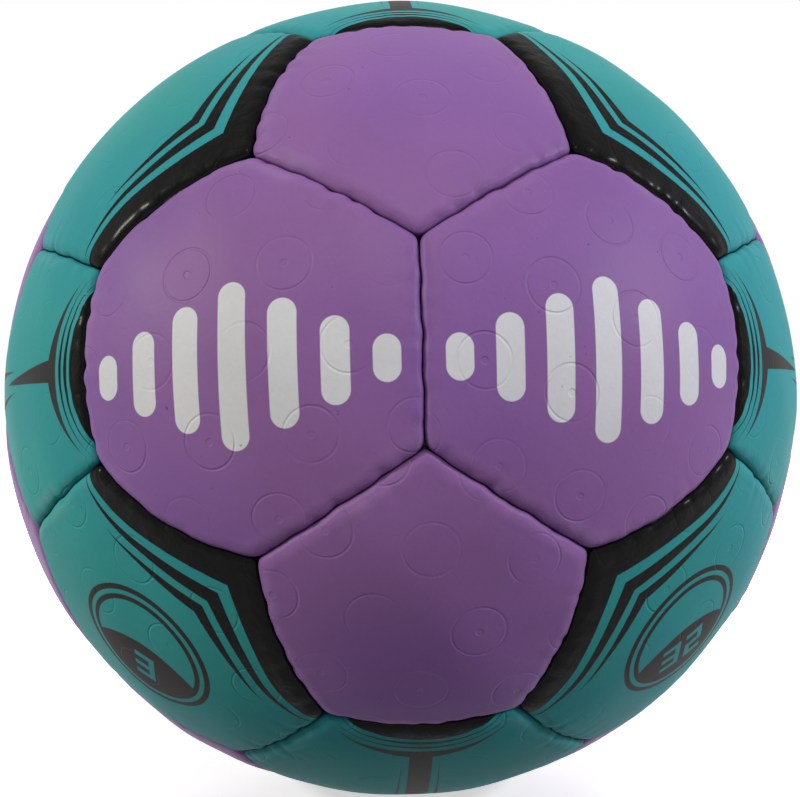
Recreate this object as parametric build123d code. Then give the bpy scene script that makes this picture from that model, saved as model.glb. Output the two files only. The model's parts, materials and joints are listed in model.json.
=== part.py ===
"""A men's match handball: thirty-two panels sewn over foam, cloth, a bladder and a valve.

Millimetres, +Z up, origin at the middle of the ball. The front seam faces -Y.
"""

import os
from math import acos, atan, atan2, cos, degrees, floor, hypot, pi, sin, sqrt, tan

from build123d import *

# The whole ball
CIRCUMFERENCE = 590.0  # round the crowns of the panels
SEAM_DIP = 0.4  # fall of a panel's face from its crown to the middle of a side

# How the ball lies: turns about X, then Z, then Y, in degrees
LIE_PITCH = -6.37
LIE_YAW = 2.6
LIE_ROLL = -1.17

# Panel covers, with their edges turned down into the seams
COVER_THICKNESS = 1.1
FLANGE_THICKNESS = 1.0
FLANGE_DEPTH = 6.0  # crown to the lower edge of the turned-down flange
EDGE_RADIUS = 1.6  # where the face turns down into the seam
CORNER_RADIUS = 4.0
SEAM_GAP = 0.2  # between the two flanges of a seam

# Stitching
STITCH_PITCH = 5.0
STITCH_DEPTH = 4.75  # crown to the row of stitch holes
STITCH_MARGIN = 3.0  # last hole to the corner where three seams meet
THREAD_WIDTH = 0.6  # flat waxed thread, square when two lie one on the other
THREAD_CLEARANCE = 0.08  # round the thread, in its hole and beside the flange

# Layers under the cover
GLUE_LINE = 0.1
FOAM_THICKNESS = 2.4  # at the crown
LINING_THICKNESS = 2.2
PAD_CLEARANCE = 0.5  # beside the stitching
PAD_CORNER_RADIUS = 1.5

# Bladder
BLADDER_CLEARANCE = 0.2  # under the flanges and the lining
BLADDER_WALL = 1.0

# Valve
VALVE_RECESS = 0.6  # crown to the mouth of the valve
NECK_DIAMETER = 7.0
NECK_CLEARANCE = 0.2
NECK_EDGE_RADIUS = 0.4
VALVE_FLANGE_DIAMETER = 30.0
VALVE_FLANGE_THICKNESS = 1.4
STEM_DIAMETER = 12.0
STEM_LENGTH = 11.0
STEM_END_RADIUS = 1.5
CORE_DIAMETER = 4.6
CORE_CLEARANCE = 0.05
BEAD_DIAMETER = 6.4  # ring on the core that locks it in the stem
BEAD_LENGTH = 3.0
BEAD_HEIGHT = 3.0  # inner end of the core to the bead
NEEDLE_DIAMETER = 2.0
NEEDLE_DEPTH = 9.0
FUNNEL_DIAMETER = 3.0
FUNNEL_DEPTH = 0.8
SLIT_WIDTH = 3.0
SLIT_THICKNESS = 0.2

RADIUS = CIRCUMFERENCE / (2 * pi)
GOLDEN = (1 + sqrt(5)) / 2
VALVE_PANEL = "right_top_hexagon_panel"
ANGLE_SLACK = 1.0  # degrees, for telling which panels are neighbours


class PanelKind:
    """A regular panel: its number of sides, and the angle from its axis to the middle of a side."""

    def __init__(self, name, sides, side_angle):
        self.name = name
        self.sides = sides
        self.side_angle = side_angle
        seam_radius = RADIUS - SEAM_DIP
        fall = RADIUS - seam_radius * cos(side_angle)
        self.dome_centre = (RADIUS**2 - seam_radius**2) / (2 * fall)
        self.dome_radius = RADIUS - self.dome_centre


HEXAGON_SIDE_ANGLE = atan(1 / GOLDEN**2)
AXES_ANGLE = acos(GOLDEN**2 / sqrt((1 + GOLDEN**2) * 3))
HEXAGON = PanelKind("hexagon", 6, HEXAGON_SIDE_ANGLE)
PENTAGON = PanelKind("pentagon", 5, AXES_ANGLE - HEXAGON_SIDE_ANGLE)
HALF_SEAM_ANGLE = acos(cos(atan(tan(HEXAGON_SIDE_ANGLE) / cos(pi / 6))) / cos(HEXAGON_SIDE_ANGLE))


def ball(radius, centre_height=0.0):
    """A sphere whose poles and seam line stay away from +Z, where the panels are drawn."""
    return Pos(0, 0, centre_height) * Rot(0, 90, 0) * Sphere(radius)


def wedge(kind, inset, corner_radius):
    """The solid angle of one panel, its flat sides drawn in from the seam planes by inset."""

    def outline(height):
        apothem = height * tan(kind.side_angle) - inset / cos(kind.side_angle)
        flat = RegularPolygon(apothem, kind.sides, major_radius=False, rotation=180 / kind.sides)
        return [Vector(v.X, v.Y, height) for v in flat.vertices().sort_by(lambda v: atan2(v.Y, v.X))]

    low = outline(RADIUS - 2 * FLANGE_DEPTH)
    high = outline(RADIUS + FLANGE_DEPTH)
    rims = [low, high]
    rims += [[low[k - 1], low[k], high[k], high[k - 1]] for k in range(kind.sides)]
    body = Solid(Shell([Face(Wire.make_polygon(rim)) for rim in rims]))
    slanted = [e for e in body.edges() if abs((e @ 0).Z - (e @ 1).Z) > FLANGE_DEPTH]
    return fillet(slanted, corner_radius)


def domed_block(kind, inset, depth, corner_radius):
    """A panel's wedge under a dome that lies depth below its face."""
    return wedge(kind, inset, corner_radius) & ball(kind.dome_radius - depth, kind.dome_centre)


def rolled(block, edge_radius):
    """A domed block with the edge of its dome rounded."""
    dome = block.faces().filter_by(GeomType.SPHERE).sort_by(Axis.Z)[-1]
    return fillet(dome.edges(), edge_radius)


# Heights and insets that follow from the sizes above
STITCH_RADIUS = RADIUS - STITCH_DEPTH
FOAM_TOP_DEPTH = COVER_THICKNESS + GLUE_LINE
LINING_TOP_DEPTH = FOAM_TOP_DEPTH + FOAM_THICKNESS + GLUE_LINE
LINING_FLOOR_DEPTH = LINING_TOP_DEPTH + LINING_THICKNESS
BLADDER_RADIUS = RADIUS - max(FLANGE_DEPTH, LINING_FLOOR_DEPTH) - BLADDER_CLEARANCE
FLANGE_INSET = SEAM_GAP / 2 + FLANGE_THICKNESS
THREAD_INSET = FLANGE_INSET + THREAD_CLEARANCE + THREAD_WIDTH / 2
PAD_INSET = THREAD_INSET + THREAD_WIDTH / 2 + PAD_CLEARANCE
HOLE_DIAMETER = hypot(2 * THREAD_WIDTH + 3 * THREAD_CLEARANCE, THREAD_WIDTH)
NECK_HOLE_DIAMETER = NECK_DIAMETER + 2 * NECK_CLEARANCE


def stitch_angles():
    """Where the stitches of a seam lie: angles along it, either side of its middle."""
    step = STITCH_PITCH / STITCH_RADIUS
    reach = HALF_SEAM_ANGLE - STITCH_MARGIN / STITCH_RADIUS
    gaps = floor(2 * reach / step)
    return [step * (i - gaps / 2) for i in range(gaps + 1)]


def stitch_place(across, angle, radius):
    """A point of the stitching in its seam's frame: X across, Y along, Z outward."""
    return Vector(across, radius * sin(angle), radius * cos(angle))


def stitch_holes(kind):
    """The holes punched through all the flanges of one panel."""
    holes = []
    for side in range(kind.sides):
        seam = Rot(0, 0, side * 360 / kind.sides) * Rot(0, degrees(kind.side_angle), 0)
        for angle in stitch_angles():
            hole = Rot(0, 90, 0) * Cylinder(HOLE_DIAMETER / 2, 2 * THREAD_INSET)
            holes.append(seam * Pos(stitch_place(0, angle, STITCH_RADIUS)) * hole)
    return holes


def cover(kind):
    """The outer skin of a panel: a domed face with a flange turned down along every side."""
    outer = rolled(domed_block(kind, SEAM_GAP / 2, 0, CORNER_RADIUS), EDGE_RADIUS)
    hollow = domed_block(kind, FLANGE_INSET, COVER_THICKNESS, CORNER_RADIUS - FLANGE_THICKNESS)
    hollow = rolled(hollow, EDGE_RADIUS - COVER_THICKNESS)
    skin = outer - ball(RADIUS - FLANGE_DEPTH) - hollow
    return skin - stitch_holes(kind)


def foam(kind):
    """The soft pad glued under a cover; it thins out toward the sides."""
    pad = domed_block(kind, PAD_INSET, FOAM_TOP_DEPTH, PAD_CORNER_RADIUS)
    return pad - ball(RADIUS - FOAM_TOP_DEPTH - FOAM_THICKNESS)


def lining(kind):
    """The stack of cloth glued under the foam."""
    stack = wedge(kind, PAD_INSET, PAD_CORNER_RADIUS) & ball(RADIUS - LINING_TOP_DEPTH)
    return stack - ball(RADIUS - LINING_FLOOR_DEPTH)


def thread_pass(side, radius):
    """One of the two threads of a seam: in through a hole, along the flange, back through the next."""
    path = []
    for angle in stitch_angles():
        path.append(stitch_place(-side * THREAD_INSET, angle, radius))
        path.append(stitch_place(side * THREAD_INSET, angle, radius))
        side = -side
    line = Polyline(*path)
    section = Plane(line @ 0, x_dir=(0, 0, 1), z_dir=line % 0) * Rectangle(THREAD_WIDTH, THREAD_WIDTH)
    return sweep(section, path=line, transition=Transition.RIGHT)


def seam_threads():
    """Both threads of a seam, which cross in every hole, in the seam's frame."""
    lift = (THREAD_WIDTH + THREAD_CLEARANCE) / 2
    return [thread_pass(1, STITCH_RADIUS + lift), thread_pass(-1, STITCH_RADIUS - lift)]


def rod(diameter, low, high):
    """A round bar along Z between two heights."""
    return Pos(0, 0, low) * Cylinder(diameter / 2, high - low, align=(Align.CENTER, Align.CENTER, Align.MIN))


# Heights along the valve's own axis
VALVE_MOUTH = RADIUS - VALVE_RECESS
VALVE_FLANGE_TOP = BLADDER_RADIUS - BLADDER_WALL - GLUE_LINE
VALVE_FLANGE_FLOOR = VALVE_FLANGE_TOP - VALVE_FLANGE_THICKNESS
STEM_END = VALVE_FLANGE_FLOOR - STEM_LENGTH


def core_blank(clearance):
    """The outside of the valve core, or with a clearance the pocket that holds it."""
    bead_low = STEM_END + BEAD_HEIGHT
    blank = rod(CORE_DIAMETER + 2 * clearance, STEM_END, VALVE_MOUTH)
    return blank + rod(BEAD_DIAMETER + 2 * clearance, bead_low - clearance, bead_low + BEAD_LENGTH + clearance)


def valve_body():
    """Moulded rubber: a disc bonded inside the bladder, a neck out to the cover, a stem inward."""
    disc = (ball(VALVE_FLANGE_TOP) - ball(VALVE_FLANGE_FLOOR)) & rod(VALVE_FLANGE_DIAMETER, 0, RADIUS)
    stem = rod(STEM_DIAMETER, STEM_END, VALVE_FLANGE_FLOOR + VALVE_FLANGE_THICKNESS / 2)
    stem = fillet(stem.edges().sort_by(Axis.Z)[0], STEM_END_RADIUS)
    neck = rod(NECK_DIAMETER, VALVE_FLANGE_FLOOR, VALVE_MOUTH)
    neck = fillet(neck.edges().sort_by(Axis.Z)[-1], NECK_EDGE_RADIUS)
    return disc + stem + neck - core_blank(CORE_CLEARANCE)


def valve_core():
    """The plug the needle goes through: a funnel, a bore, and a slit that air pressure shuts."""
    bore_floor = VALVE_MOUTH - NEEDLE_DEPTH
    bore = rod(NEEDLE_DIAMETER, bore_floor, VALVE_MOUTH)
    funnel = Cone(NEEDLE_DIAMETER / 2, FUNNEL_DIAMETER / 2, FUNNEL_DEPTH,
                  align=(Align.CENTER, Align.CENTER, Align.MIN))
    slit = Box(SLIT_WIDTH, SLIT_THICKNESS, bore_floor - STEM_END, align=(Align.CENTER, Align.CENTER, Align.MIN))
    return core_blank(0) - bore - Pos(0, 0, VALVE_MOUTH - FUNNEL_DEPTH) * funnel - Pos(0, 0, STEM_END) * slit


def turned(x, y, z):
    """A direction of the ball as it lies, from its direction in the upright ball."""
    upright = Vector(x, y, z).normalized()
    return upright.rotate(Axis.X, LIE_PITCH).rotate(Axis.Z, LIE_YAW).rotate(Axis.Y, LIE_ROLL)


def place_words(direction):
    """Plain words for a direction in the upright ball, the strongest word first."""
    words = [("left", "right"), ("front", "back"), ("bottom", "top")]
    strong = sorted(range(3), key=lambda i: -abs(direction[i]))
    return [words[i][direction[i] > 0] for i in strong if direction[i]]


def panel_directions():
    """The kind and outward direction of every panel of the upright ball."""
    found = []
    for kind, near, far in ((HEXAGON, 1 / GOLDEN, GOLDEN), (PENTAGON, GOLDEN, 1)):
        for a in (-near, near):
            for b in (-far, far):
                found += [(kind, (0, a, b)), (kind, (b, 0, a)), (kind, (a, b, 0))]
    return found + [(HEXAGON, (x, y, z)) for x in (-1, 1) for y in (-1, 1) for z in (-1, 1)]


class Panel:
    """One panel in its place on the ball."""

    def __init__(self, kind, direction):
        words = place_words(direction)
        self.kind = kind
        self.region = words[0]
        self.name = "_".join(words + [kind.name, "panel"])
        self.axis = turned(*direction)

    def plane_toward(self, other):
        """The panel's own frame: Z outward through its middle, X toward a neighbour of the other kind."""
        return Plane((0, 0, 0), x_dir=other.axis - self.axis * other.axis.dot(self.axis), z_dir=self.axis)

    def touches(self, other):
        """Whether the two panels share a seam."""
        across = degrees(self.kind.side_angle + other.kind.side_angle)
        return self.axis.get_angle(other.axis) < across + ANGLE_SLACK


def seam_plane(one, other):
    """The frame of the seam between two panels: X across it, Y along it, Z outward through its middle."""
    lean, other_lean = one.kind.side_angle, other.kind.side_angle
    middle = (one.axis * sin(other_lean) + other.axis * sin(lean)).normalized()
    return Plane((0, 0, 0), x_dir=one.axis - middle * one.axis.dot(middle), z_dir=middle)


panels = [Panel(kind, direction) for kind, direction in panel_directions()]
planes = {}
for panel in panels:
    others = [p for p in panels if p.kind is not panel.kind]
    planes[panel.name] = panel.plane_toward(max(others, key=lambda p: p.axis.dot(panel.axis)))
valve_plane = planes[VALVE_PANEL]

covers = {kind: cover(kind) for kind in (HEXAGON, PENTAGON)}
foams = {kind: foam(kind) for kind in (HEXAGON, PENTAGON)}
linings = {kind: lining(kind) for kind in (HEXAGON, PENTAGON)}
threads = seam_threads()
neck_hole = rod(NECK_HOLE_DIAMETER, STEM_END, RADIUS + VALVE_RECESS)


def fitted(panel, pieces):
    """A panel's own copy of a piece, in its place, with the valve's hole where it is needed."""
    piece = pieces[panel.kind]
    if panel.name == VALVE_PANEL:
        piece = piece - neck_hole
    return (planes[panel.name] * piece).solid()


nodes = {panel.name: fitted(panel, covers) for panel in panels}
regions = sorted({panel.region for panel in panels})
for region in regions:
    here = [panel for panel in panels if panel.region == region]
    nodes[f"{region}_foams"] = Compound([fitted(panel, foams) for panel in here])
    nodes[f"{region}_linings"] = Compound([fitted(panel, linings) for panel in here])

sewn = {region: [] for region in regions}
for i, one in enumerate(panels):
    for other in panels[:i]:
        if one.touches(other):
            sewn[one.region] += [(seam_plane(one, other) * thread).solid() for thread in threads]
for region in regions:
    nodes[f"{region}_seam_threads"] = Compound(sewn[region])

nodes["bladder"] = Sphere(BLADDER_RADIUS) - Sphere(BLADDER_RADIUS - BLADDER_WALL) - valve_plane * neck_hole
nodes["valve_body"] = valve_plane * valve_body()
nodes["valve_core"] = valve_plane * valve_core()

os.makedirs("parts", exist_ok=True)
for name, shape in nodes.items():
    export_step(shape, f"parts/{name}.step", write_pcurves=False)
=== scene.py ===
# %% [markdown]
# # A sewn match handball
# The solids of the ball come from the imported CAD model: thirty-two covers, their foam and cloth, the
# thread, the bladder and the valve. This lesson keeps their sizes and places, and gives the ball its looks:
# soft, puckered covers, printed bands, satin leather, light and a camera. Sizes are in millimetres until a
# mesh is made, because that is how a ball maker thinks; Blender itself works in metres.

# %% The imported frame
import json

import bpy
import numpy as np
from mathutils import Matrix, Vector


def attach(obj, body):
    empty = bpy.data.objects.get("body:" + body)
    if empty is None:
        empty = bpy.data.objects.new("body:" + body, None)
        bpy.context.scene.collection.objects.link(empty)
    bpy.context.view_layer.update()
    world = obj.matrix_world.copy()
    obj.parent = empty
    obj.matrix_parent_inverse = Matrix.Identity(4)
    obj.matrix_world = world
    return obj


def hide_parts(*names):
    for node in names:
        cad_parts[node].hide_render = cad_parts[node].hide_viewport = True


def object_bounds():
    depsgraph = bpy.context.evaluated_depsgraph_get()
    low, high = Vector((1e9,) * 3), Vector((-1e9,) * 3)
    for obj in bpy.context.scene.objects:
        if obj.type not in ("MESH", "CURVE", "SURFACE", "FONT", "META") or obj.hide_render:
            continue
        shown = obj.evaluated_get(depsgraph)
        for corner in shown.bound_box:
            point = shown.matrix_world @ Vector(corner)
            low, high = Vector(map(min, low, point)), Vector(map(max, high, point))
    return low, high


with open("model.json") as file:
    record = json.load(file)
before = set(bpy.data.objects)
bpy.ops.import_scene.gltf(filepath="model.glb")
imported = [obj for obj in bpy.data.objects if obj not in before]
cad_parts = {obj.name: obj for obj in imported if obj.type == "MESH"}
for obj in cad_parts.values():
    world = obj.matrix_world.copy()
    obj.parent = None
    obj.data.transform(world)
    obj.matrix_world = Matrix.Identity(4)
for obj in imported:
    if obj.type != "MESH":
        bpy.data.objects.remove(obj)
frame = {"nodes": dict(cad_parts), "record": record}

cad_box = [list(map(float, corner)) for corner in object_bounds()]
print("CAD box in metres:", cad_box)

# %% [markdown]
# ## Where the panels lie
# The ball is sewn from twenty hexagons and twelve pentagons. Their middles point along directions built from
# the golden ratio, so no table is needed. The ball doesn't stand upright: it lies rolled a little, and the
# same three turns that lay the solids down lay these directions down.

# %% Panel directions
RADIUS = 590.0 / (2 * np.pi)
GOLDEN = (1 + 5**0.5) / 2
SIDE_ANGLE = {"hexagon": np.arctan(1 / GOLDEN**2)}
SIDE_ANGLE["pentagon"] = np.arccos(GOLDEN**2 / np.sqrt((1 + GOLDEN**2) * 3)) - SIDE_ANGLE["hexagon"]
WORDS = (("left", "right"), ("front", "back"), ("bottom", "top"))


def unit(v):
    """A vector of length one along v."""
    return np.asarray(v, float) / np.linalg.norm(v)


def turn(axis, degrees):
    """The matrix that turns by the right-hand rule about X, Y or Z."""
    i, j = {"X": (1, 2), "Y": (2, 0), "Z": (0, 1)}[axis]
    c, s = np.cos(np.radians(degrees)), np.sin(np.radians(degrees))
    m = np.eye(3)
    m[i, i], m[i, j], m[j, i], m[j, j] = c, -s, s, c
    return m


def panel_name(direction, kind):
    """Plain words for a direction of the upright ball, the strongest first, as the solids are named."""
    strong = sorted(range(3), key=lambda i: -abs(direction[i]))
    return "_".join([WORDS[i][direction[i] > 0] for i in strong if direction[i]] + [kind, "panel"])


upright = {}
for kind, near, far in (("hexagon", 1 / GOLDEN, GOLDEN), ("pentagon", GOLDEN, 1.0)):
    for a in (-near, near):
        for b in (-far, far):
            upright |= {panel_name(d, kind): (kind, d) for d in ((0, a, b), (b, 0, a), (a, b, 0))}
corners = [(x, y, z) for x in (-1, 1) for y in (-1, 1) for z in (-1, 1)]
upright |= {panel_name(d, "hexagon"): ("hexagon", d) for d in corners}

LIE = turn("Y", -1.17) @ turn("Z", 2.6) @ turn("X", -6.37)
kind_of = {name: kind for name, (kind, d) in upright.items()}
middle = {name: LIE @ unit(d) for name, (kind, d) in upright.items()}
print(len(upright), "panels; all are CAD nodes:", set(upright) <= set(frame["nodes"]))

# %% [markdown]
# ## Seams
# Two panels meet in a plane through the middle of the ball. Each seam gets a small frame of its own: a normal
# that points across it, the direction of its middle, and the direction along it. A seeded generator also
# gives every seam how hard its thread was pulled and how far it strays, because no two seams of a hand-sewn
# ball are alike. The purple panels of the front and back groups are fuller than the teal ones, so those seams
# bow out.

# %% Seam frames
PULL = 0.12, 0.60  # depth of the dents that the thread draws, in millimetres
STRAY = 0.2  # how far the middle of a seam strays to either side
WAVE = 12.0, 24.0  # length over which the pull comes and goes
SEAM_SPAN = 23.282  # degrees from end to end of a seam, seen from the middle of the ball
HALF_SEAM = RADIUS * np.radians(SEAM_SPAN / 2)
BOW = {"hexagon": 2.2, "pentagon": 1.6}  # how far cluster panels swell over the teal panels beside them
MEET = 0.02  # radians to spare when two panels are tested for a shared side
rng = np.random.default_rng(32)


class Seam:
    """The seam between two panels: across points from the first panel to the second."""

    def __init__(self, one, other):
        a, b = SIDE_ANGLE[kind_of[one]], SIDE_ANGLE[kind_of[other]]
        self.out = unit(middle[one] * np.sin(b) + middle[other] * np.sin(a))
        self.across = unit(middle[other] - self.out * (middle[other] @ self.out))
        self.along = np.cross(self.out, self.across)
        self.pull = {1.0: rng.uniform(*PULL), -1.0: rng.uniform(*PULL)}
        self.bow = rng.uniform(-STRAY, STRAY)
        self.wave = rng.uniform(*WAVE)
        self.starts = rng.uniform(0.0, 2 * np.pi, 3)


names = sorted(upright)
CLUSTER = [n for n in names if n.split("_")[0] in ("front", "back")]
TEAL = [n for n in names if n not in CLUSTER and ("front" in n or "back" in n)]
seams = {name: [] for name in names}
for i, one in enumerate(names):
    for other in names[i + 1:]:
        reach = SIDE_ANGLE[kind_of[one]] + SIDE_ANGLE[kind_of[other]]
        if middle[one] @ middle[other] > np.cos(reach + MEET):
            seam = Seam(one, other)
            for big, small, sign in ((one, other, 1), (other, one, -1)):
                if big in CLUSTER and small in TEAL:
                    seam.bow += sign * BOW[kind_of[big]]
            seams[one].append((seam, 1.0, other))
            seams[other].append((seam, -1.0, one))
sides = sum(map(len, seams.values()))
print("sides:", sides, "seams:", sides // 2)

# %% [markdown]
# ## The shape of a cover
# A cover is a domed piece of synthetic leather whose edge rolls over and goes down into the seam as a flange.
# It could be sculpted or simulated as cloth, but its shape is simple enough to write as a formula on a polar
# grid: rays round the middle of the panel, and rows that go out over the dome, round the roll, down the
# flange, and back under it to the middle. That makes a closed wall of even thickness with no loose edge.

# %% Profile of a cover
SEAM_DIP = 0.4  # fall of the dome to the middle of a side
ROLL_WIDTH = 3.4  # the rolled edge, across the seam
ROLL_DEPTH = 1.3  # and down into it
HALF_GAP = 0.1  # from the flange to the plane of the seam
SKIN = 1.1  # thickness of the leather
FLANGE = 1.0  # and of the flange
FLANGE_DEPTH = 6.0  # from the ball's round to the lower edge of the flange
CORNER = 0.5  # how softly two sides run into each other
PITCH = 5.0  # from stitch to stitch
HOLE = 3.7  # radius of the hole for the valve
LIP = 0.4  # rounding of that hole's edge


def profile(crown_rows=22, roll_rows=14, flange_rows=4):
    """Rows of the wall from the outer middle to the inner middle, as four columns.

    reach: share of the way from the middle, or the edge of a hole there, to the start of the roll.
    edge: distance from the plane of the seam, gap + width (1 - sin t) round the roll.
    depth: depth below the dome, depth (1 - cos t) round the roll.
    sink: share of the way from the foot of the roll to the lower edge of the flange.
    """
    crown = np.linspace(0, 1, crown_rows + 1)[1:]
    t = np.linspace(0, np.pi / 2, roll_rows + 1)[1:]
    f = np.linspace(0, 1, flange_rows + 1)[1:]
    back, under = t[::-3], crown[::-3]  # the inner wall is hidden, so every third row will do
    inner = ROLL_WIDTH - FLANGE
    rows = [
        np.stack([crown, HALF_GAP + ROLL_WIDTH + 0 * crown, 0 * crown, 0 * crown]),
        np.stack([1 + 0 * t, HALF_GAP + ROLL_WIDTH * (1 - np.sin(t)), ROLL_DEPTH * (1 - np.cos(t)), 0 * t]),
        np.stack([1 + 0 * f, HALF_GAP + 0 * f, ROLL_DEPTH + 0 * f, f]),
        np.stack([1 + 0 * f, HALF_GAP + FLANGE + 0 * f, ROLL_DEPTH + SKIN + 0 * f, f[::-1]]),
        np.stack([1 + 0 * back, HALF_GAP + FLANGE + inner * (1 - np.sin(back)),
                  SKIN + ROLL_DEPTH * (1 - np.cos(back)), 0 * back]),
        np.stack([under, HALF_GAP + ROLL_WIDTH + 0 * under, SKIN + 0 * under, 0 * under]),
    ]
    return np.concatenate(rows, axis=1), crown_rows + roll_rows + flange_rows


def hole_rows(lip_rows=5):
    """The rounded edge of a hole, from its wall up to the dome.

    Its depth is lip (1 - cos t), and it stands lip (1 - sin t) out from the wall.
    """
    t = np.linspace(np.pi / 2, 0, lip_rows)
    edge = HALF_GAP + ROLL_WIDTH + 0 * t
    return np.stack([0 * t, edge, LIP * (1 - np.cos(t)), 0 * t]), LIP * (1 - np.sin(t))


rows, outer_rows = profile()
lip, lip_back = hole_rows()
print("rows:", rows.shape[1], "of them outside:", outer_rows)

# %% [markdown]
# ## Puckers
# The thread draws the leather in at every hole, so the edge of a cover is scalloped: a short dent at each
# stitch, and a soft swelling between them. The dents are bells along the seam that fade out a few
# millimetres from it, and the seam itself sways a little. A few long waves with seeded directions keep the
# dome from being perfectly round. A cloth simulation could give this too, but a formula is exact and the
# same on every run.


# %% Cover surface
SWAYS = (0.16, 11.0), (0.06, PITCH)  # how far a seam sways, and over what length
DENT_WIDTH = 1.2  # of the bell at a stitch, along the seam
DENT_MEAN = 0.42  # the bells' mean height, so that dents and swellings balance
CORNER_BLEND = 1.5  # how gradually one seam's pull takes over from the next at a corner
PUCKER_REACH = 2.4  # how far from the seam a pucker fades out
DRAW_IN = 0.2  # share of a dent by which the edge is also drawn in
WIDEST = 0.6  # a tilt in radians that lies past every seam
HALVINGS = 30
WAVES = 5
WAVE_LENGTH = 16, 45
WAVE_HEIGHT = 0.03, 0.09


def soft_least(distances, softness):
    """The least of the last axis, rounded off where two are close: -s log(sum(exp(-d / s)))."""
    least = distances.min(-1)
    return least - softness * np.log(np.exp(-(distances - least[..., None]) / softness).sum(-1))


class Cover:
    """The surface of one cover, from its panel's directions."""

    def __init__(self, name, x_toward, seed, holed):
        self.holed = holed
        self.out = middle[name]
        self.x = unit(x_toward - self.out * (x_toward @ self.out))
        self.y = np.cross(self.out, self.x)
        self.sides = seams[name]
        self.normals = np.array([seam.across * sign for seam, sign, other in self.sides])
        self.alongs = np.array([seam.along for seam, sign, other in self.sides])
        self.signs = np.array([sign for seam, sign, other in self.sides])
        self.bows = np.array([seam.bow for seam, sign, other in self.sides])
        self.starts = np.array([seam.starts for seam, sign, other in self.sides]).T
        fall = RADIUS - (RADIUS - SEAM_DIP) * np.cos(SIDE_ANGLE[kind_of[name]])
        self.dome_centre = (RADIUS**2 - (RADIUS - SEAM_DIP) ** 2) / (2 * fall)
        self.rng = np.random.default_rng(seed)

    def ray(self, angle, tilt):
        """The direction tilted from the panel's axis toward an angle round it."""
        flat = np.cos(angle)[..., None] * self.x + np.sin(angle)[..., None] * self.y
        return np.cos(tilt)[..., None] * self.out + np.sin(tilt)[..., None] * flat

    def side_distances(self, q, bowed):
        """Distance of a direction from each seam, which swells and sways: (b + s(y)) (1 - (y / half)^2)."""
        along = RADIUS * q @ self.alongs.T
        sway = sum(size * np.sin(2 * np.pi * along / length + start)
                   for (size, length), start in zip(SWAYS, self.starts))
        swell = self.signs * (self.bows + sway) * (1 - np.minimum((along / HALF_SEAM) ** 2, 1))
        return np.asarray(bowed)[..., None] * swell - RADIUS * q @ self.normals.T

    def edge(self, q, bowed=1.0):
        """Distance of a direction from the nearest seam, with soft corners."""
        return soft_least(self.side_distances(q, bowed), CORNER)

    def tilt_at(self, angle, edge, bowed):
        """The tilt at which a ray comes within edge of the seams, found by halving an interval."""
        low = np.zeros(np.broadcast(angle, edge).shape)
        high = np.full(low.shape, WIDEST)
        for _ in range(HALVINGS):
            half = (low + high) / 2
            inside = self.edge(self.ray(angle, half), bowed) > edge
            low, high = np.where(inside, half, low), np.where(inside, high, half)
        return low

    def dome(self, q):
        """Distance from the ball's middle to the dome: c cos(a) + sqrt(r^2 - c^2 sin(a)^2)."""
        cosine = q @ self.out
        return self.dome_centre * cosine + np.sqrt(
            (RADIUS - self.dome_centre) ** 2 - self.dome_centre**2 * (1 - cosine**2))

    def pucker(self, q):
        """How much the stitches pull here: bells along each seam, blended at the corners by nearness."""
        distances = self.side_distances(q, 1.0)
        near = np.exp(-(distances - distances.min(-1, keepdims=True)) / CORNER_BLEND)
        near /= near.sum(-1, keepdims=True)
        pull = 0
        for k, (seam, sign, other) in enumerate(self.sides):
            along = RADIUS * np.arctan2(q @ seam.along, q @ seam.out)
            off = along - PITCH * np.round(along / PITCH)
            bell = np.exp(-((off / DENT_WIDTH) ** 2)) - DENT_MEAN
            uneven = 0.6 + 0.5 * np.sin(2 * np.pi * along / seam.wave + sign * seam.starts[2])
            pull = pull + near[..., k] * seam.pull[sign] * uneven * bell
        return pull

    def waves(self, q):
        """A few long, low waves over the dome: sum of a sin(k . p + phase)."""
        height = 0
        for _ in range(WAVES):
            k = self.rng.normal(size=3)
            k = 2 * np.pi / self.rng.uniform(*WAVE_LENGTH) * unit(k - self.out * (k @ self.out))
            size = self.rng.uniform(*WAVE_HEIGHT)
            height = height + size * np.sin(RADIUS * q @ k + self.rng.uniform(0, 6.3))
        return height

    def grid(self, rays):
        """Points, print coordinates and seam distances of the whole wall; a hole's wall closes the ring."""
        wall, start = rows, np.zeros(rows.shape[1])
        if self.holed:
            foot = lip[:, :1] + [[0], [0], [SKIN - LIP], [0]]
            wall = np.concatenate([lip, rows, foot], axis=1)
            start = HOLE + np.concatenate([lip_back, LIP + start, [0]])
        reach, edge, depth, sink = wall[:, :, None]
        angle = np.linspace(0, 2 * np.pi, rays, endpoint=False)[None, :]
        start = start[:, None] / RADIUS
        tilt = start + reach * (self.tilt_at(angle, edge, 1 - sink) - start)
        q = self.ray(angle + 0 * tilt, tilt)
        distance = self.edge(q)
        pull = self.pucker(q) * np.exp(-np.maximum(distance - HALF_GAP, 0) / PUCKER_REACH)
        tilt = tilt - DRAW_IN * np.maximum(pull, 0) * (1 - sink) / RADIUS
        q = self.ray(angle + 0 * tilt, tilt)
        high = self.dome(q) + self.waves(q) * (1 - sink) - depth - pull
        high = high * (1 - sink) + (RADIUS - FLANGE_DEPTH) * sink
        flat = np.stack([q @ self.x, q @ self.y], -1) / (q @ self.out)[..., None] * RADIUS
        return q * high[..., None], flat, distance


print("stitches every", PITCH, "mm; a pucker fades out over", PUCKER_REACH, "mm")

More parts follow.
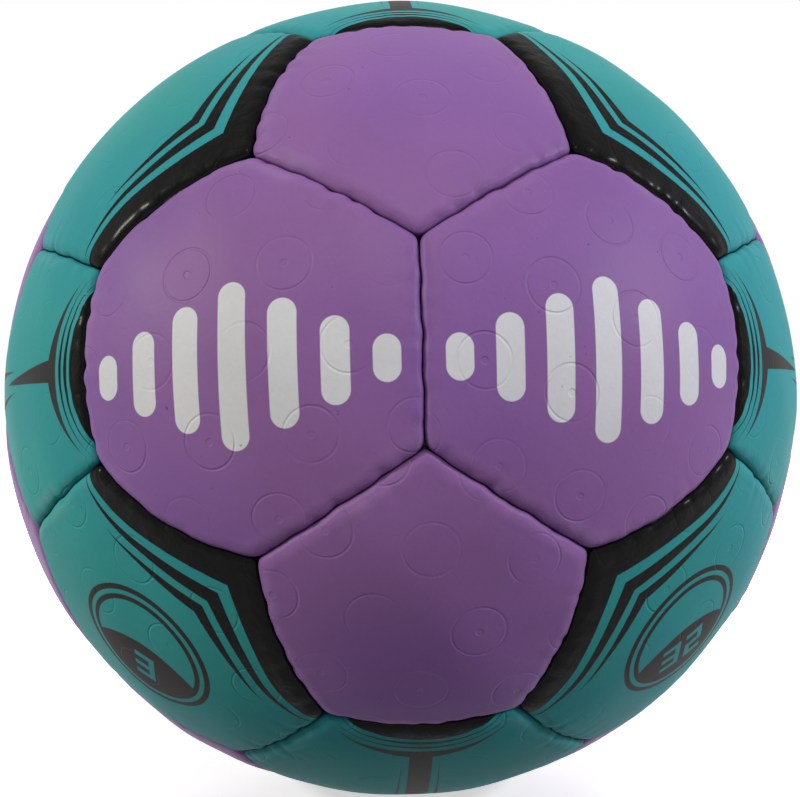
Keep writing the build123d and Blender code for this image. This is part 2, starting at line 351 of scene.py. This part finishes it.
# %% [markdown]
# ## From grid to mesh
# The grid becomes quads between rows and rays, with a fan of triangles at the two middles. Two UV maps go
# with it: one in millimetres on the panel's own face for the print, and one turned and shifted at random for
# the pressed rings, because the leather was pressed before the panels were cut. An attribute keeps how far
# each point is from its seam. The cover over the valve has a small hole, so its rows close on themselves
# instead.


# %% Mesh of a cover
MAP_SIDE = 100  # millimetres of leather across a whole UV map


def cover_mesh(name, cover, rays, hand, print_shift):
    """A closed mesh in metres: outer middle, rows of rays, inner middle, or a ring of rows round a hole.

    hand: -1 where the print is mirrored across x, else 1.
    """
    points, flat, distance = cover.grid(rays)
    count = points.shape[0]
    poles = np.stack([cover.out * (points[end].mean(0) @ cover.out) for end in (0, -1)])
    verts = np.concatenate([points.reshape(-1, 3), poles]) / 1000
    index = np.arange(count * rays).reshape(count, rays)
    index = np.concatenate([index, index[:1]]) if cover.holed else index
    ahead = np.roll(index, -1, axis=1)
    faces = np.stack([index[:-1], index[1:], ahead[1:], ahead[:-1]], -1).reshape(-1, 4).tolist()
    last_outer = outer_rows + (lip.shape[1] if cover.holed else 0)
    inside = np.repeat(np.arange(len(index) - 1) >= last_outer, rays)
    if cover.holed:
        verts = verts[:-2]
    else:
        top = np.stack([0 * index[0] + len(verts) - 2, index[0], ahead[0]], -1)
        foot = np.stack([index[-1], 0 * index[-1] + len(verts) - 1, ahead[-1]], -1)
        faces += top.tolist() + foot.tolist()
        inside = np.concatenate([inside, np.zeros(rays), np.ones(rays)])
    mesh = bpy.data.meshes.new(name)
    mesh.from_pydata(verts.tolist(), [], faces)
    mesh.polygons.foreach_set("use_smooth", np.ones(len(mesh.polygons), bool))
    mesh.polygons.foreach_set("material_index", inside.astype(np.int32))
    on_face = np.concatenate([flat.reshape(-1, 2), np.zeros((2, 2))])
    corner = np.zeros(len(mesh.loops), np.int32)
    mesh.loops.foreach_get("vertex_index", corner)
    spin, slide = cover.rng.uniform(0, 360), cover.rng.uniform(-10, 10, 2)
    for layer, warp, shift in (("print", np.diag([1, hand]), print_shift),
                               ("pressed", turn("Z", spin)[:2, :2], slide)):
        uv = 0.5 + (on_face @ warp.T + shift) / MAP_SIDE
        mesh.uv_layers.new(name=layer).uv.foreach_set("vector", uv[corner].astype(np.float32).ravel())
    seam_mm = np.concatenate([distance.ravel(), distance[[0, -1]].mean(1)])[:len(verts)]
    mesh.attributes.new("seam_mm", "FLOAT", "POINT").data.foreach_set("value", seam_mm.astype(np.float32))
    mesh.update()
    return mesh


print("a UV map is", MAP_SIDE, "mm across")

# %% [markdown]
# ## Which way a print points
# Two clusters of four purple panels, front and back, are framed in black. A teal panel that touches a cluster
# turns its print toward it: toward the corner where two of its sides meet the cluster, or toward the one side
# that does. The two big front hexagons keep their print level.

# %% Covers
VALVE_PANEL = "right_top_hexagon_panel"
LEVEL = {"front": LIE @ [1, 0, 0], "back": LIE @ [-1, 0, 0]}
FIRST_SEED, RAYS_PER_SIDE = 100, 60
OFF_REGISTER = {  # how far the print of four panels is off the middle, in millimetres
    "left_front_top_hexagon_panel": (0.6, -1.3),
    "right_front_top_hexagon_panel": (1.3, 0.1),
    "left_front_bottom_hexagon_panel": (-0.4, -0.3),
    "right_front_bottom_hexagon_panel": (-0.3, -0.4),
}


def toward(name):
    """The direction that a panel's print turns to."""
    cluster = [s for s in seams[name] if s[2] in CLUSTER]
    if name in CLUSTER:
        return LEVEL[name.split("_")[0]]
    if name in TEAL and len(cluster) == 2:
        corner = np.cross(cluster[0][0].across, cluster[1][0].across)
        return corner * np.sign(corner @ middle[name])
    return middle[cluster[0][2]] if cluster else middle[seams[name][0][2]]


def hand_of(name, cover):
    """1 where the y of a panel's print runs toward a cluster pentagon, -1 where it runs away from it."""
    pentagons = [o for seam, sign, o in seams[name] if o in CLUSTER and kind_of[o] == "pentagon"]
    return -1 if pentagons and middle[pentagons[0]] @ cover.y < -0.01 else 1


covers = {}
for order, name in enumerate(names):
    cover = Cover(name, toward(name), FIRST_SEED + order, name == VALVE_PANEL)
    hand = hand_of(name, cover) if name in TEAL else 1
    piece_name = name.replace("_panel", "_cover")
    rays = RAYS_PER_SIDE * len(seams[name])
    mesh = cover_mesh(piece_name, cover, rays, hand, OFF_REGISTER.get(name, (0.0, 0.0)))
    piece = bpy.data.objects.new(piece_name, mesh)
    bpy.context.scene.collection.objects.link(piece)
    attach(piece, "root")
    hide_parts(name)
    "teal_cover" if name in TEAL else "purple_cover"
    covers[name] = piece
triangles = sum(sum(len(p.vertices) - 2 for p in o.data.polygons) for o in covers.values())
print(len(covers), "covers,", triangles, "triangles")

# %% [markdown]
# ## Shader sums in Python
# A print is easiest to write as arithmetic on millimetres. The class below wraps one shader socket, so that
# a line such as 1 - mask adds the Math node by itself. Every other node comes from its one method, make.


# %% Shader wires
class Wire:
    """A shader socket used in Python expressions."""

    def __init__(self, tree, socket=None):
        self.tree, self.socket = tree, socket

    def make(self, kind, settings=None, inputs=None, output=0):
        """Adds a node: its settings first, then the values or wires of its sockets."""
        node = self.tree.nodes.new(kind)
        for key, value in (settings or {}).items():
            setattr(node, key, value)
        for key, value in (inputs or {}).items():
            if isinstance(value, Wire):
                self.tree.links.new(value.socket, node.inputs[key])
            else:
                node.inputs[key].default_value = value
        return Wire(self.tree, node.outputs[output] if node.outputs else None)

    def also(self, output):
        """Another output of the node this wire comes from."""
        return Wire(self.tree, self.socket.node.outputs[output])

    def math(self, operation, *values):
        """A Math node with this wire first."""
        return self.make("ShaderNodeMath", {"operation": operation}, dict(enumerate([self, *values])))

    def __add__(self, other):
        return self.math("ADD", other)

    def __mul__(self, other):
        return self.math("MULTIPLY", other)

    def __sub__(self, other):
        return self.math("SUBTRACT", other)

    def __rsub__(self, other):
        return self.make("ShaderNodeMath", {"operation": "SUBTRACT"}, {0: other, 1: self})

    def __truediv__(self, other):
        return self.math("DIVIDE", other)

    def __neg__(self):
        return self.math("MULTIPLY", -1.0)

    __radd__, __rmul__ = __add__, __mul__

    def size(self):
        """Absolute value."""
        return self.math("ABSOLUTE")

    def least(self, other):
        """The smaller of two values; for two distances, where either shape has ink."""
        return self.math("MINIMUM", other)

    def most(self, other):
        """The larger of two values; for two distances, where both shapes have ink."""
        return self.math("MAXIMUM", other)

    def fade(self, low, high):
        """0 below low, 1 above high, smooth between."""
        smooth = {"interpolation_type": "SMOOTHSTEP"}
        return self.make("ShaderNodeMapRange", smooth, {0: self, 1: low, 2: high})

    def inside(self, soft=0.12):
        """1 where a signed distance in millimetres is below zero, with a soft edge of ink."""
        return 1 - self.fade(-soft, soft)

    def tint(self, colour, over):
        """This mask lays a colour over another."""
        return self.make("ShaderNodeMix", {"data_type": "RGBA"}, {0: self, 6: over, 7: colour}, output=2)


def srgb(red, green, blue):
    """A colour written as it looks on a screen, 0 to 255, as linear light."""
    c = np.array([red, green, blue]) / 255
    return (*np.where(c < 0.04045, c / 12.92, ((c + 0.055) / 1.055) ** 2.4).tolist(), 1.0)


def new_material(name):
    """An empty node material and a wire to start from."""
    material = bpy.data.materials.new(name)
    material.use_nodes = True
    material.node_tree.nodes.clear()
    return material, Wire(material.node_tree)


def finish_material(start, inputs):
    """The Principled shader, with its sockets, wired to the output."""
    shader = start.make("ShaderNodeBsdfPrincipled", {}, inputs)
    start.make("ShaderNodeOutputMaterial", {}, {"Surface": shader})


print("wires ready; a mid grey is", srgb(128, 128, 128)[0])

# %% [markdown]
# ## Print
# The bands and pinstripes are drawn as signed distances in millimetres on the flat of a panel: x runs toward
# the cluster, y across. A negative number is inside the ink. Arms that bend at a corner are the same line in
# x and in the size of y, so one formula draws both arms. An image texture could carry the print as well, but
# the formulas stay sharp at any size.


# %% Stripes
def stripe(x, outer, width):
    """A stripe between outer and outer - width; none where the width has run out."""
    return (x - outer).most(outer - width - x)


BAND_BEND = 31.6  # where the outer edge of the bent band crosses the axis of its panel
BAND_LEAN = 0.56  # how steeply its arms lean back
NARROWS = 18.0  # along an arm, from where the band narrows
HEXAGON_TAPER = 0.0147  # and how fast, beside a hexagon
FIRST_STRIPE = 3.5, 36  # width of the first pinstripe, and the arm's length at which it has run out
SECOND_STRIPE = 2.7, 23


def tapered(arm, width, end):
    """A width that falls evenly along an arm: w - w arm / end."""
    return width - arm * (width / end)


def corner_print(x, y, pentagon_taper):
    """The bent band of a corner hexagon and its two tapered pinstripes.

    The edge is bend - lean |y| + taper late^2, with one taper beside the cluster's hexagon and another beside
    its pentagon, where y is positive. The pinstripes follow it at slowly changing gaps.
    """
    arm = y.size()
    late = (arm - NARROWS).most(0.0)
    taper = HEXAGON_TAPER + (pentagon_taper - HEXAGON_TAPER) * y.math("GREATER_THAN", 0.0)
    band = BAND_BEND - BAND_LEAN * arm + taper * (late * late)
    first, first_width = band - 3.2 + 0.05 * arm, tapered(arm, *FIRST_STRIPE)
    second, second_width = first - first_width - 1.9 - 0.01 * arm, tapered(arm, *SECOND_STRIPE)
    pinstripes = stripe(x, first, first_width).least(stripe(x, second, second_width))
    return (band - x).least(pinstripes).inside(), None


print("corner band: crosses at", BAND_BEND, "mm and narrows from", NARROWS, "mm")

# %% [markdown]
# ## Side bands
# A panel that meets its cluster with one side has a short bowed band instead. Behind it lie two pinstripes
# and a grey cross: a curved bar and a stem. The same distances draw them, with a square and a cube of y for
# the bow.

# %% Side bands
BAND_REACH, BAND_BOW = 6.3, 0.021  # depth of the short band from the edge, and how it bows
STRIPE_BOW, STRIPE_CURL = 0.010, 0.0007
SIDE_STRIPES = (7.3, 1.1), (9.3, 0.9)  # how far in from the edge a pinstripe starts, and its width
STRIPE_END = 17  # along the arm
CROSS_BAR, CROSS_END = (11.3, 3.2), 18


def side_print(x, y, edge, stem):
    """The short band, its two pinstripes and the grey cross: each edge is start + bow y^2 + curl |y|^3."""
    arm = y.size()
    bow = arm * arm
    bend = STRIPE_BOW * bow + STRIPE_CURL * (bow * arm)
    ink = (edge - BAND_REACH) + BAND_BOW * bow - x
    for depth, width in SIDE_STRIPES:
        ink = ink.least(stripe(x, (edge - depth) + bend, tapered(arm, width, STRIPE_END)))
    depth, width = CROSS_BAR
    cross = stripe(x, (edge - depth) + bend, tapered(arm, width, CROSS_END))
    return ink.inside(), cross.least(stem(x, arm)).inside()


def pointed_stem(x, arm):
    """A stem that narrows to a point at x = -12, and a thin stripe either side that widens beyond x = -5."""
    stem = (arm - (x + 12) * (2.3 / 26)).most(x - 14)
    back = -5.0 - x
    return stem.least(stripe(arm, 2.2 + 0.115 * back, 0.09 * back))


def straight_stem(x, arm):
    """A stem of even width up to x = 24, with a thin stripe either side that widens from x = 18."""
    stem = (arm - 2.4).most(x - 24)
    back = 18.0 - x
    return stem.least(stripe(arm, 3.9 + 0.03 * back, 0.03 * back))


print("side pinstripes in from the edge:", [depth for depth, width in SIDE_STRIPES])

# %% [markdown]
# ## Size roundels
# Two lower panels carry a roundel: two rings and a dark lower field that leaves a plain block number free. A
# block digit is a few upright and level bars, each a box whose distance is the larger of its two overhangs.


# %% Roundel
OUTER_RING, INNER_RING = (15.5, 0.65), (13.2, 0.6)  # radius and half the width of each line
FIELD_RADIUS, FIELD_TOP, FIELD_ARCH = 12.7, 1.8, 0.034
NUMBER_DROP, HALF_WIDTH, HALF_HEIGHT, STROKE, SPACING = 5.6, 1.8, 3.2, 0.7, 3.0
BARS = {"top": (0, 1), "middle": (0, 0), "foot": (0, -1),  # level bars
        "upper_right": (1, 0.5), "lower_left": (-1, -0.5), "lower_right": (1, -0.5)}  # upright bars
DIGITS = {"3": ("top", "middle", "foot", "upper_right", "lower_right"),
          "2": ("top", "middle", "foot", "upper_right", "lower_left")}


def bar_box(x, y, cx, cy, half_x, half_y):
    """Signed distance of an upright box: the larger of |x - cx| - half x and |y - cy| - half y."""
    return ((x - cx).size() - half_x).most((y - cy).size() - half_y)


def number(x, y, text):
    """Block digits side by side, centred."""
    shape = None
    for place, digit in enumerate(text):
        left = (place - (len(text) - 1) / 2) * (2 * HALF_WIDTH + SPACING)
        for bar in DIGITS[digit]:
            cx, cy = BARS[bar]
            wide, tall = (STROKE, HALF_HEIGHT / 2 + STROKE) if cx else (HALF_WIDTH + STROKE, STROKE)
            part = bar_box(x, y, left + cx * HALF_WIDTH, cy * HALF_HEIGHT, wide, tall)
            shape = part if shape is None else shape.least(part)
    return shape


def circle_line(r, radius, half):
    """Signed distance of a ring: |r - radius| - half its width."""
    return (r - radius).size() - half


def roundel(x, y, hand, centre, angle, text):
    """Ink of a roundel whose number reads along an angle in degrees; hand undoes a mirrored print."""
    y = hand * y
    c, s = float(np.cos(np.radians(angle))), float(np.sin(np.radians(angle)))
    dx, dy = x - centre[0], y - centre[1]
    across, up = c * dx + s * dy, c * dy - s * dx
    r = (dx * dx + dy * dy).math("SQRT")
    rings = circle_line(r, *OUTER_RING).least(circle_line(r, *INNER_RING))
    field = (r - FIELD_RADIUS).most(up - FIELD_TOP + FIELD_ARCH * (across * across))
    field = field.most(-number(across, up + NUMBER_DROP, text))
    return rings.least(field).inside()


print("roundel numbers:", sorted(DIGITS))

# %% [markdown]
# ## Cover leather
# The covers are satin synthetic leather: an even colour with a little mottling, a fine grain, rows of faint
# pressed rings, painted shade down in the seams and paler wear with a painted sheen on the shoulders. Black
# ink is glossier and lies over pebbled leather. All heights are in millimetres, and one Bump node turns them
# into light.

# %% Pressed rings
RING_PITCH, RING_ROW = 17.5, 17.5  # from ring to ring along a row, and from row to row
RING_RADIUS, DOT_RADIUS = 5.2, 0.5


def ring_distance(u, v, shift_u, shift_v):
    """Distance from the nearest point of a rectangular lattice, shifted."""
    a = (u + shift_u).math("WRAP", RING_PITCH / 2, -RING_PITCH / 2)
    b = (v + shift_v).math("WRAP", RING_ROW, -RING_ROW)
    return (a * a + b * b).math("SQRT")


def pressed_line(start):
    """Distance from the line of a ring or its dot: every other row is shifted by half a pitch."""
    pressed = start.make("ShaderNodeUVMap", {"uv_map": "pressed"})
    spread = start.make("ShaderNodeSeparateXYZ", {}, {0: pressed})
    u, v = spread * MAP_SIDE, spread.also(1) * MAP_SIDE
    first = ring_distance(u, v, 0.0, 0.0)
    second = ring_distance(u, v, RING_PITCH / 2, RING_ROW)
    from_middle = first.least(second)
    return (from_middle - RING_RADIUS).size().least(from_middle - DOT_RADIUS)


print("pressed rings every", RING_PITCH, "mm")

# %% [markdown]
# ## Colour, roughness and relief
# One function gives every cover its leather. The colour drifts between two shades, takes its inks, and then
# its painted shade in the seams and its paler wear with a painted sheen on the shoulders, which follow the
# distance from the seam. Photographs of leather could be used instead, but noise needs no files and never
# repeats.

# %% Leather
# Pale wear with a painted sheen for the shoulders, and a dark colour for the painted shade in the seams that
# also colours the dark specks.
PALE_WEAR_AND_SHEEN, SEAM_SHADE_AND_SPECKS = srgb(205, 195, 205), srgb(34, 24, 38)
GRAIN_HEIGHT, SPECKLE_HEIGHT, RING_DEPTH, SEAM_HEIGHT, INK_HEIGHT = 0.020, 0.016, 0.11, 0.22, 0.36


def leather(start, colour, inks, gloss):
    """Base colour, roughness and normal of a printed cover.

    colour: a warm and a cool shade that drift into each other; inks: (mask, colour) laid on in turn;
    gloss: mask of the glossy black ink, or None.
    """
    place = start.make("ShaderNodeTexCoord", output="Object")
    mottle = start.make("ShaderNodeTexNoise", {}, {"Vector": place, "Scale": 60.0, "Detail": 4.0})
    speckle = start.make("ShaderNodeTexNoise", {}, {"Vector": place, "Scale": 900.0, "Detail": 2.0})
    grain = start.make("ShaderNodeTexVoronoi", {"feature": "SMOOTH_F1"}, {"Vector": place, "Scale": 1500.0})
    pebble = start.make("ShaderNodeTexNoise", {}, {"Vector": place, "Scale": 420.0, "Detail": 4.0})
    drift = start.make("ShaderNodeTexNoise", {}, {"Vector": place, "Scale": 22.0, "Detail": 2.0})
    seam = start.make("ShaderNodeAttribute", {"attribute_name": "seam_mm"}, output="Fac")

    light = 0.86 + 0.20 * mottle + 0.08 * speckle
    warm, cool = colour
    base = drift.fade(0.35, 0.65).tint(cool, warm)
    for mask, ink in inks:
        base = mask.tint(ink, base)
    # Painted shade: the leather darkens over the last half millimetre to the seam, where the groove lies in
    # shade.
    seam_shade = (1 - seam.fade(0.05, 0.6)) * 0.4
    # Partly wear and partly a painted sheen: the shoulders of the roll, about 1 to 4 mm from the seam, are
    # made paler in patches.
    wear_and_sheen = seam.fade(0.9, 1.8) * (1 - seam.fade(1.9, 4.5)) * mottle.fade(0.45, 0.75) * 0.10
    specks = speckle.fade(0.72, 0.77) * mottle.fade(0.52, 0.62) * 0.5
    shade = start.make("ShaderNodeMix", {"data_type": "RGBA", "blend_type": "MULTIPLY"},
                       {0: 1.0, 6: base, 7: light}, output=2)
    if gloss is not None:
        # Black ink takes less of the pale wear and painted sheen.
        wear_and_sheen = wear_and_sheen * (1 - 0.85 * gloss)
    shade = wear_and_sheen.tint(PALE_WEAR_AND_SHEEN, shade)
    # The painted seam shade and the dark specks, which are real marks, take the same dark colour.
    shade = seam_shade.most(specks).tint(SEAM_SHADE_AND_SPECKS, shade)

    rings = (1 - pressed_line(start).fade(0.08, 0.34)) * mottle.fade(0.34, 0.66)
    near_seam = seam.fade(0.3, 1.0) * (1 - seam.fade(1.4, 4.0))
    height = GRAIN_HEIGHT * grain + SPECKLE_HEIGHT * speckle - RING_DEPTH * rings
    height = height + SEAM_HEIGHT * (near_seam * pebble)
    rough = 0.40 + 0.16 * mottle - 0.05 * rings
    looks = {"Base Color": shade, "Roughness": rough, "Specular IOR Level": 0.16}
    if gloss is not None:
        looks["Specular IOR Level"] = 0.03
        height = height + gloss * (INK_HEIGHT * pebble)
        looks |= {"Coat Weight": gloss * 0.08, "Coat Roughness": 0.19}
    looks["Normal"] = start.make("ShaderNodeBump", {}, {"Strength": 1.0, "Distance": 0.001, "Height": height})
    return looks


print("deepest relief:", INK_HEIGHT, "mm, under the black ink")

# %% [markdown]
# ## Colours
# One material serves all covers that carry the same print, because the print reads each cover's own UV map.
# The two front hexagons carry a plain row of silver bars that swell toward the middle of the panel.

# %% Cover materials
PURPLE = srgb(146, 102, 162), srgb(140, 98, 165)
TEAL_DYE = srgb(63, 162, 160), srgb(59, 157, 163)
BLACK_INK, GREY_INK = srgb(5, 5, 4), srgb(58, 57, 57)
SILVER_INK, ROUNDEL_INK = srgb(228, 229, 232), srgb(48, 44, 43)


def face_place(start):
    """x and y in millimetres on the flat of a panel, from its print map."""
    split = start.make("ShaderNodeSeparateXYZ", {}, {0: start.make("ShaderNodeUVMap", {"uv_map": "print"})})
    return (split - 0.5) * MAP_SIDE, (split.also(1) - 0.5) * MAP_SIDE


BAR_STEP, BAR_RADIUS = 9.6, 2.7
LAST_BAR = 3.2  # just past the third bar to either side of the middle one
TALLEST, SHORTER = 12.5, 3.6  # half the length of the middle bar, and the loss from bar to bar
BARS_DROP = 3.5  # of the whole row below the middle of the panel


def silver_bars(x, y):
    """Upright round-ended bars, tallest in the middle.

    The distance is that from the core of the nearest bar, less the bar's radius.
    """
    column = (x / BAR_STEP).math("ROUND")
    half = TALLEST - SHORTER * column.size()
    run = ((y + BARS_DROP).size() - half).most(0.0)
    off = x - column * BAR_STEP
    bar = (run * run + off * off).math("SQRT") - BAR_RADIUS
    return bar.most(column.size() - LAST_BAR).inside()


def purple_material(name, barred):
    """Purple leather, with or without the silver bars."""
    material, start = new_material(name)
    x, y = face_place(start)
    inks = [(silver_bars(x, y), SILVER_INK)] if barred else []
    finish_material(start, leather(start, PURPLE, inks, None))
    return material


def teal_material(name, shape, mark=None):
    """Teal leather with the inks of a print shape, and a roundel where mark gives its place."""
    material, start = new_material(name)
    x, y = face_place(start)
    black, grey = shape(x, y)
    inks = [(grey, GREY_INK)] if grey is not None else []
    if mark:
        inks.append((roundel(x, y, *mark), ROUNDEL_INK))
    finish_material(start, leather(start, TEAL_DYE, inks + [(black, BLACK_INK)], black))
    return material


PENTAGON_EDGE, HEXAGON_EDGE = 27.8, 35.9  # from the middle of a panel to the side its print turns to
materials = {
    "plain": purple_material("purple_leather", False),
    "barred": purple_material("purple_leather_barred", True),
    "corner": teal_material("teal_corner", lambda x, y: corner_print(x, y, 0.004)),
    "three": teal_material("teal_corner_three", lambda x, y: corner_print(x, y, 0.020),
                           (-1, (-2.2, -0.3), -59.5, "3")),
    "panels": teal_material("teal_corner_thirty_two", lambda x, y: corner_print(x, y, 0.015),
                            (1, (-0.8, 0.4), -120.9, "32")),
    "side": teal_material("teal_side", lambda x, y: side_print(x, y, PENTAGON_EDGE, pointed_stem)),
    "end": teal_material("teal_end", lambda x, y: side_print(x, y, HEXAGON_EDGE, straight_stem)),
}
print("cover materials:", sorted(materials))

# %% [markdown]
# ## Dressing the covers
# Each cover takes its face material by name, and a plain cloth backing on its inner wall.

# %% Assign covers
backing, start = new_material("cover_backing")
place = start.make("ShaderNodeTexCoord", output="Object")
weave = start.make("ShaderNodeTexNoise", {}, {"Vector": place, "Scale": 1200.0, "Detail": 2.0})
finish_material(start, {
    "Base Color": weave.fade(0.3, 0.7).tint(srgb(196, 190, 178), srgb(168, 160, 148)), "Roughness": 0.9,
    "Normal": start.make("ShaderNodeBump", {}, {"Distance": 0.0002, "Height": weave})})
SPECIAL = {"left_front_bottom_hexagon_panel": "three", "right_front_bottom_hexagon_panel": "panels",
           "front_left_hexagon_panel": "barred", "front_right_hexagon_panel": "barred"}
for name, piece in covers.items():
    look = "plain"
    if name in TEAL:
        look = "side" if kind_of[name] == "pentagon" else "corner" if len(name.split("_")) == 5 else "end"
    piece.data.materials.append(materials[SPECIAL.get(name, look)])
    piece.data.materials.append(backing)
print({look: sum(p.data.materials[0] == m for p in covers.values()) for look, m in materials.items()})

# %% [markdown]
# ## What lies inside
# The foam, cloth, thread, bladder and valve keep their CAD solids, which are the right shape. Each gets its
# own finish: closed-cell foam, woven cloth, waxed thread and moulded rubber.


# %% Inner materials
def plain_material(name, dark, pale, scale, rough, bump, texture="ShaderNodeTexNoise"):
    """Two shades mixed by a texture that also gives the relief."""
    material, start = new_material(name)
    place = start.make("ShaderNodeTexCoord", output="Object")
    pattern = start.make(texture, {}, {"Vector": place, "Scale": scale})
    finish_material(start, {
        "Base Color": pattern.fade(0.25, 0.75).tint(pale, dark), "Roughness": rough + 0.1 * pattern,
        "Normal": start.make("ShaderNodeBump", {}, {"Distance": bump, "Height": pattern})})
    return material


inner = {
    # Charcoal foam: where it shows in the seam valleys, its dark colour stands in for shade.
    "foam": plain_material("cell_foam", srgb(30, 28, 30), srgb(52, 50, 52), 1400, 0.75, 0.0002,
                           "ShaderNodeTexVoronoi"),
    "lining": plain_material("bonded_cloth", srgb(176, 168, 150), srgb(220, 214, 198), 1100, 0.8, 0.0002),
    "thread": plain_material("waxed_thread", srgb(24, 24, 26), srgb(58, 58, 60), 2600, 0.5, 0.0001),
    "bladder": plain_material("bladder_rubber", srgb(18, 18, 18), srgb(42, 42, 42), 300, 0.45, 0.0001),
    "valve_body": plain_material("valve_rubber", srgb(20, 20, 20), srgb(46, 46, 46), 900, 0.5, 0.0001),
    "valve_core": plain_material("core_rubber", srgb(30, 30, 32), srgb(62, 62, 64), 900, 0.45, 0.0001),
}
for part in frame["record"]["subparts"]:
    if part["material_slot"] in inner:
        node = frame["nodes"][part["node"]]
        node.data.materials.clear()
        node.data.materials.append(inner[part["material_slot"]])
print("inner finishes:", sorted(inner))

# %% [markdown]
# ## Floor and light
# The photograph shows the ball on pure white, lit softly from above and in front. The world is white to the
# camera and in reflections, but lights the ball like a room: bright above, dim below. The floor is white in
# the same way and keeps the shadow. It throws little light back up, so the underside stays as dark as it
# should.

# %% Floor
FLOOR_RADIUS, FLOOR_SIDES = 3, 96
NEAR, FAR = 0.16, 0.50  # between these distances from the ball the floor rises to full white
floor_z = cad_box[0][2]
angle = np.linspace(0, 2 * np.pi, FLOOR_SIDES, endpoint=False)
ring = np.stack([FLOOR_RADIUS * np.cos(angle), FLOOR_RADIUS * np.sin(angle), 0 * angle + floor_z], -1)
floor_mesh = bpy.data.meshes.new("floor")
floor_mesh.from_pydata(ring.tolist(), [], [list(range(FLOOR_SIDES))])
floor = bpy.data.objects.new("floor", floor_mesh)
bpy.context.scene.collection.objects.link(floor)


def grey(level):
    """A neutral colour in linear light."""
    return level, level, level, 1


def background_rays(start):
    """1 for the rays that show the background: from the camera, mirrored, or through glass."""
    path = start.make("ShaderNodeLightPath")
    return path.most(path.also("Is Glossy Ray")).most(path.also("Is Transmission Ray"))


floor_paint, start = new_material("floor_paint")
seen = background_rays(start)
place = start.make("ShaderNodeTexCoord", output="Object")
cloth = start.make("ShaderNodeTexNoise", {}, {"Vector": place, "Scale": 40.0})
far = start.make("ShaderNodeVectorMath", {"operation": "LENGTH"}, {0: place}, output="Value").fade(NEAR, FAR)
glow = far.tint(grey(1.0), grey(0.6))
finish_material(start, {"Base Color": seen.tint(grey(0.92), grey(0.18)), "Roughness": 0.8 + 0.1 * cloth,
                        "Specular IOR Level": 0.0, "Emission Color": seen.tint(glow, grey(0.0)),
                        "Emission Strength": 1.0})
floor_mesh.materials.append(floor_paint)
print("floor at", floor_z)

# %% World
world = bpy.data.worlds.new("room")
bpy.context.scene.world = world
world.use_nodes = True
world.node_tree.nodes.clear()
start = Wire(world.node_tree)
heading = start.make("ShaderNodeSeparateXYZ", {}, {0: start.make("ShaderNodeTexCoord", output="Generated")})
ROOM_ABOVE, ROOM_BELOW = (0.20, 0.20, 0.21, 1), grey(0.06)
room = heading.also(2).fade(-0.25, 0.35).tint(ROOM_ABOVE, ROOM_BELOW)
sky = start.make("ShaderNodeBackground", {}, {0: background_rays(start).tint(grey(1.0), room), 1: 1.0})
start.make("ShaderNodeOutputWorld", {}, {"Surface": sky})
print("room light above and below:", ROOM_ABOVE[:3], ROOM_BELOW[:3])

# %% [markdown]
# ## Lamps
# The highlights on the black bands show where the light came from: a warm lamp above the camera and a lamp on
# either side, all small enough for crisp highlights. A weak lamp behind the right shoulder lifts the rim, and
# one at the back lights the far side for other views. These two are kept out of reflections.

# %% Lamps


def lamp(name, place, aim, size, power, colour):
    """A square soft box at place, turned toward aim."""
    data = bpy.data.lights.new(name, "AREA")
    data.size, data.energy, data.color = size, power, colour
    made = bpy.data.objects.new(name, data)
    bpy.context.scene.collection.objects.link(made)
    made.location = place
    step = aim - np.array(place)
    flat = np.hypot(step[0], step[1])
    made.rotation_euler = (np.arctan2(flat, -step[2]), 0, np.arctan2(-step[0], step[1]))
    return made


centre = np.zeros(3)
lamp("front_box", (0.0, -0.95, 0.85), centre, 0.14, 3.5, (1.0, 0.93, 0.86))
lamp("left_box", (-1.15, -0.45, 0.56), centre, 0.14, 8.5, (1.0, 1.0, 0.93))
lamp("right_box", (1.15, -0.45, 0.58), centre, 0.14, 9.2, (0.89, 0.89, 1.0))
lamp("rim_box", (0.70, 0.10, 0.90), centre, 0.20, 1.3, (0.96, 0.98, 1.0)).visible_glossy = False
lamp("back_box", (0.0, 1.20, 0.30), centre, 0.30, 6.0, (1.0, 0.98, 0.96)).visible_glossy = False

# %% [markdown]
# ## Camera
# The outline of the ball and the corners of its panels give the camera: it stood about 300 mm from the middle
# of the ball, level with it, with a lens that makes the ball just fill the frame.

# %% Camera and finish
lens = bpy.data.cameras.new("camera")
FOCAL_LENGTH, SENSOR, DISTANCE = 54.5, 36.0, 0.3015
lens.lens, lens.sensor_width, lens.clip_start = FOCAL_LENGTH, SENSOR, 0.01
camera = bpy.data.objects.new("camera", lens)
bpy.context.scene.collection.objects.link(camera)
camera.location = (0.0, -DISTANCE, 0.0)
camera.rotation_euler = (np.pi / 2, 0, 0)
bpy.context.scene.camera = camera
bpy.context.scene.view_settings.view_transform = "Standard"
